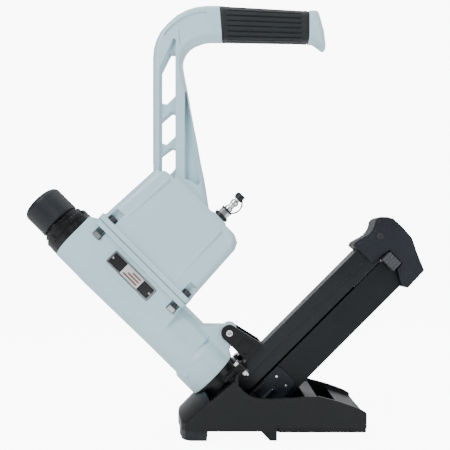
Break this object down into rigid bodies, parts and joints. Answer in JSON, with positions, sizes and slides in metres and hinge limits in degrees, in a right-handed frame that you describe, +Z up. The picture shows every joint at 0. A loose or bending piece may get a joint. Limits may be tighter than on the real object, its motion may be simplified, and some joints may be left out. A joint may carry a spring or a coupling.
{
  "type": "flooring nailer",
  "caption": "Mallet-struck pneumatic flooring nailer with slanted drive tube, swan-neck handle over the reservoir, slanted fastener magazine and flat base shoe.",
  "frame": {"origin": "centre of the bounding box in plan, on the ground that the front foot and the shoe's lip stand on", "axes": "+Z up, +X from the striking cap towards the magazine's rear end, -Y the side with the name plate; the drive tube and the magazine lie in the XZ plane at 45 degrees"},
  "size_m": [0.5486, 0.118, 0.5886],
  "materials": {
    "housing_casting": "satin",
    "black_casting": "satin",
    "black_extrusion": "satin",
    "black_plastic": "satin",
    "sole_plastic": "matte",
    "strike_rubber": "matte",
    "grip_rubber": "matte",
    "seal_rubber": "matte",
    "bumper_rubber": "matte",
    "tool_steel": "satin",
    "spring_steel": "satin",
    "bright_steel": "polished",
    "dark_steel": "satin",
    "alloy": "satin",
    "bronze": "satin",
    "gasket_fibre": "matte",
    "plate_enamel": "gloss",
    "knob_plastic": "satin"
  },
  "bodies": {
    "root": {"main_housing": "housing_casting", "head_cap": "black_casting", "head_cap_oring": "seal_rubber", "plunger_bushing": "bronze", "plunger_spring": "spring_steel", "head_valve_spring": "spring_steel", "cylinder_sleeve": "alloy", "cylinder_orings": "seal_rubber", "bumper": "bumper_rubber", "nose_ring": "black_casting", "nose_bolts": "bright_steel", "nose_screws": "tool_steel", "driver_guide": "tool_steel", "guide_screws": "tool_steel", "name_plate": "plate_enamel", "plate_rivets": "bright_steel", "handle_housing": "housing_casting", "housing_gasket": "gasket_fibre", "housing_bolts": "dark_steel", "housing_nuts": "bright_steel", "grip_sleeve": "grip_rubber", "handle_end_cap": "housing_casting", "end_cap_screw": "tool_steel", "inlet_bushing": "black_plastic", "air_plug": "bright_steel", "base_shoe": "black_casting", "sole_plate": "sole_plastic", "sole_screws": "tool_steel", "front_foot": "black_plastic", "foot_screws": "tool_steel", "magazine_rail": "black_extrusion", "magazine_side_near": "black_extrusion", "magazine_side_far": "black_extrusion", "magazine_cheek_near": "black_plastic", "magazine_cheek_far": "black_plastic", "cheek_screws": "bright_steel", "magazine_end_cap": "black_plastic", "magazine_screws": "dark_steel", "latch_pin": "bright_steel", "support_bracket": "black_casting", "support_pin": "bright_steel", "bracket_screws": "tool_steel", "pusher_spring": "spring_steel"},
    "plunger": {"strike_cap": "strike_rubber", "strike_plunger": "tool_steel", "plunger_clip": "tool_steel"},
    "valve": {"head_valve": "alloy", "head_valve_seal": "seal_rubber"},
    "driver": {"piston": "alloy", "piston_ring": "seal_rubber", "driver_pin": "tool_steel", "driver_blade": "tool_steel"},
    "pusher_carriage": {"pusher": "tool_steel", "pusher_knob": "knob_plastic", "spring_drum": "spring_steel"},
    "plug_cover": {"dust_cap": "strike_rubber", "dust_cap_tether": "strike_rubber"},
    "latch": {"magazine_latch": "black_plastic"}
  },
  "joints": [
    {"name": "strike_slide", "type": "slide", "parent": "root", "child": "plunger", "axis": [0.7071, 0, -0.7071], "range_m": [0, 0.0033], "stiffness_N_per_m": 4000, "springref_m": -0.002, "deforming": ["plunger_spring"]},
    {"name": "valve_slide", "type": "slide", "parent": "root", "child": "valve", "axis": [-0.7071, 0, 0.7071], "range_m": [0, 0.005], "stiffness_N_per_m": 2500, "springref_m": -0.003, "deforming": ["head_valve_spring"]},
    {"name": "driver_slide", "type": "slide", "parent": "root", "child": "driver", "axis": [0.7071, 0, -0.7071], "range_m": [0, 0.069]},
    {"name": "pusher_slide", "type": "slide", "parent": "root", "child": "pusher_carriage", "axis": [-0.7071, 0, -0.7071], "range_m": [0, 0.215], "deforming": ["pusher_spring"]},
    {"name": "dust_cap_slide", "type": "slide", "parent": "root", "child": "plug_cover", "axis": [0.7071, 0, 0.7071], "range_m": [0, 0.012]},
    {"name": "latch_hinge", "type": "hinge", "parent": "root", "child": "latch", "pos_m": [0.05993, -0.02, 0.05247], "axis": [0.7071, 0, 0.7071], "range_deg": [0, 70]}
  ]
}
